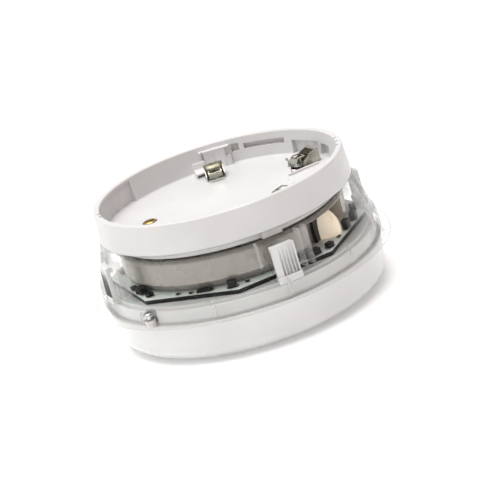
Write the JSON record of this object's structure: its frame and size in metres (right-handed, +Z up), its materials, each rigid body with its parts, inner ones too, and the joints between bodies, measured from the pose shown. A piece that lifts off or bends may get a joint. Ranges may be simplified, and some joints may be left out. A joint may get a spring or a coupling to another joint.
{
  "type": "horn strobe",
  "caption": "Round ceiling horn strobe with a mounting recess, a clear beacon ring round a grey drum and a rounded white sounder front.",
  "frame": {"origin": "centre of the rim plane that meets the ceiling base", "axes": "+Z points up to the ceiling, out of the mounting recess; -Y is the side seen from the front"},
  "size_m": [0.122, 0.122, 0.057],
  "materials": {
    "white_housing": "fine satin white moulding",
    "white_cover": "polished milky white moulding",
    "clear_lens": "clear polished polycarbonate",
    "grey_drum": "satin grey moulding",
    "gold_metal": "gold plated",
    "black_moulding": "matt black epoxy moulding",
    "sprung_metal": "nickel plated spring strip",
    "tinned_metal": "tin plated strip",
    "board_green": "green solder mask",
    "board_white": "white solder mask with dark cut edge",
    "cream_lamp": "cream lamp body",
    "can_metal": "bare can",
    "dark_ferrite": "dark ferrite",
    "soft_seal": "soft foam rubber",
    "zinc_screws": "bright zinc",
    "piezo_white": "silvered ceramic",
    "black_mesh": "woven acoustic mesh"
  },
  "bodies": {
    "housing": {"address_board": "board_green", "assembly_screws": "zinc_screws", "beacon_board": "board_white", "beacon_chips": "black_moulding", "board_link_pins": "gold_metal", "board_link_socket": "black_moulding", "boost_inductor": "dark_ferrite", "chip_resistors": "black_moulding", "contact_seat_1": "tinned_metal", "contact_seat_2": "tinned_metal", "contact_seat_3": "tinned_metal", "cover_gasket": "soft_seal", "cover_screws": "zinc_screws", "driver_transistors": "black_moulding", "dust_mesh": "black_mesh", "front_cover": "white_cover", "horn_plate": "grey_drum", "inner_drum": "grey_drum", "lamp_carrier_front": "board_white", "lamp_carrier_rear": "board_white", "lens_cover": "clear_lens", "lens_seal": "soft_seal", "microcontroller": "black_moulding", "piezo_ceramic": "piezo_white", "piezo_plate": "gold_metal", "piezo_springs": "zinc_screws", "rear_housing": "white_housing", "sounder_chamber": "grey_drum", "storage_capacitors": "can_metal", "strobe_lamp_front": "cream_lamp", "strobe_lamp_rear": "cream_lamp", "tens_switch_body": "black_moulding", "units_switch_body": "black_moulding"},
    "tens_dial": {"tens_dial": "gold_metal"},
    "units_dial": {"units_dial": "gold_metal"},
    "leaf_1": {"contact_leaf_1": "sprung_metal"},
    "leaf_2": {"contact_leaf_2": "sprung_metal"},
    "leaf_3": {"contact_leaf_3": "sprung_metal"}
  },
  "joints": [
    {"name": "tens_dial_turn", "type": "hinge", "parent": "housing", "child": "tens_dial", "pos_m": [-0.0305, -0.0018, -0.0097], "axis": [0, 0, 1], "continuous": true},
    {"name": "units_dial_turn", "type": "hinge", "parent": "housing", "child": "units_dial", "pos_m": [-0.027, -0.0155, -0.0097], "axis": [0, 0, 1], "continuous": true},
    {"name": "leaf_1_flex", "type": "hinge", "parent": "housing", "child": "leaf_1", "pos_m": [-0.00063, 0.03599, -0.0084], "axis": [0.9998, 0.0175, 0], "range_deg": [0, 5], "stiffness_Nm_per_rad": 0.02},
    {"name": "leaf_2_flex", "type": "hinge", "parent": "housing", "child": "leaf_2", "pos_m": [0.03958, 0.0168, -0.0084], "axis": [0.3907, -0.9205, 0], "range_deg": [0, 5], "stiffness_Nm_per_rad": 0.02},
    {"name": "leaf_3_flex", "type": "hinge", "parent": "housing", "child": "leaf_3", "pos_m": [0.02687, -0.02687, -0.0084], "axis": [-0.7071, -0.7071, 0], "range_deg": [0, 5], "stiffness_Nm_per_rad": 0.02}
  ]
}
